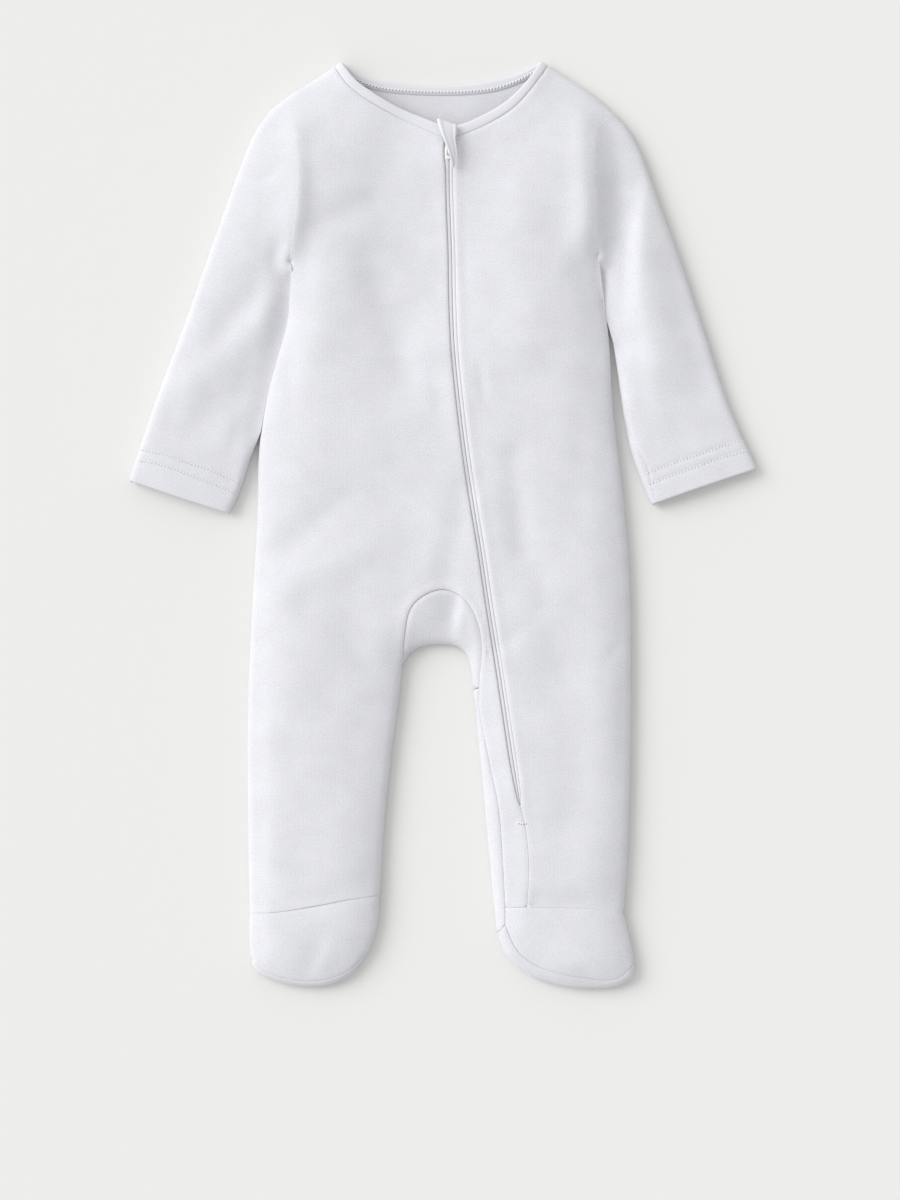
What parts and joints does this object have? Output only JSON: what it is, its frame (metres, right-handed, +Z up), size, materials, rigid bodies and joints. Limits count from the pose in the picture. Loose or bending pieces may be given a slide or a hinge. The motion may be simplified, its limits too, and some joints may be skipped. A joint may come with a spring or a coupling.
{
  "type": "footed baby sleepsuit",
  "caption": "Plain white cotton footed baby sleepsuit with long sleeves and a slanting front zip, laid flat on its back.",
  "frame": {"origin": "under the middle of the laid garment, on the surface that it rests on", "axes": "+Z up out of the surface, +Y from the feet to the neck, +X to the wearer's left side"},
  "size_m": [0.378, 0.558, 0.0217],
  "materials": {
    "jersey": "matt cotton knit",
    "band": "matt folded cotton rib",
    "tape": "matt woven tape with fine plastic coils",
    "slider": "satin white enamel"
  },
  "bodies": {
    "garment": {"back": "jersey", "foot_upper_left": "jersey", "foot_upper_right": "jersey", "front_left": "jersey", "front_right": "jersey", "gusset": "jersey", "neck_binding": "band", "sleeve_left": "jersey", "sleeve_right": "jersey", "sole_left": "jersey", "sole_right": "jersey", "zip_garage": "jersey", "zip_slider": "slider", "zip_tape_left": "tape", "zip_tape_right": "tape"},
    "pull": {"zip_pull": "slider"}
  },
  "joints": [
    {"name": "pull_hinge", "type": "hinge", "parent": "garment", "child": "pull", "pos_m": [0.0037, 0.22309, 0.01651], "axis": [1, 0, 0], "range_deg": [0, 3]}
  ]
}
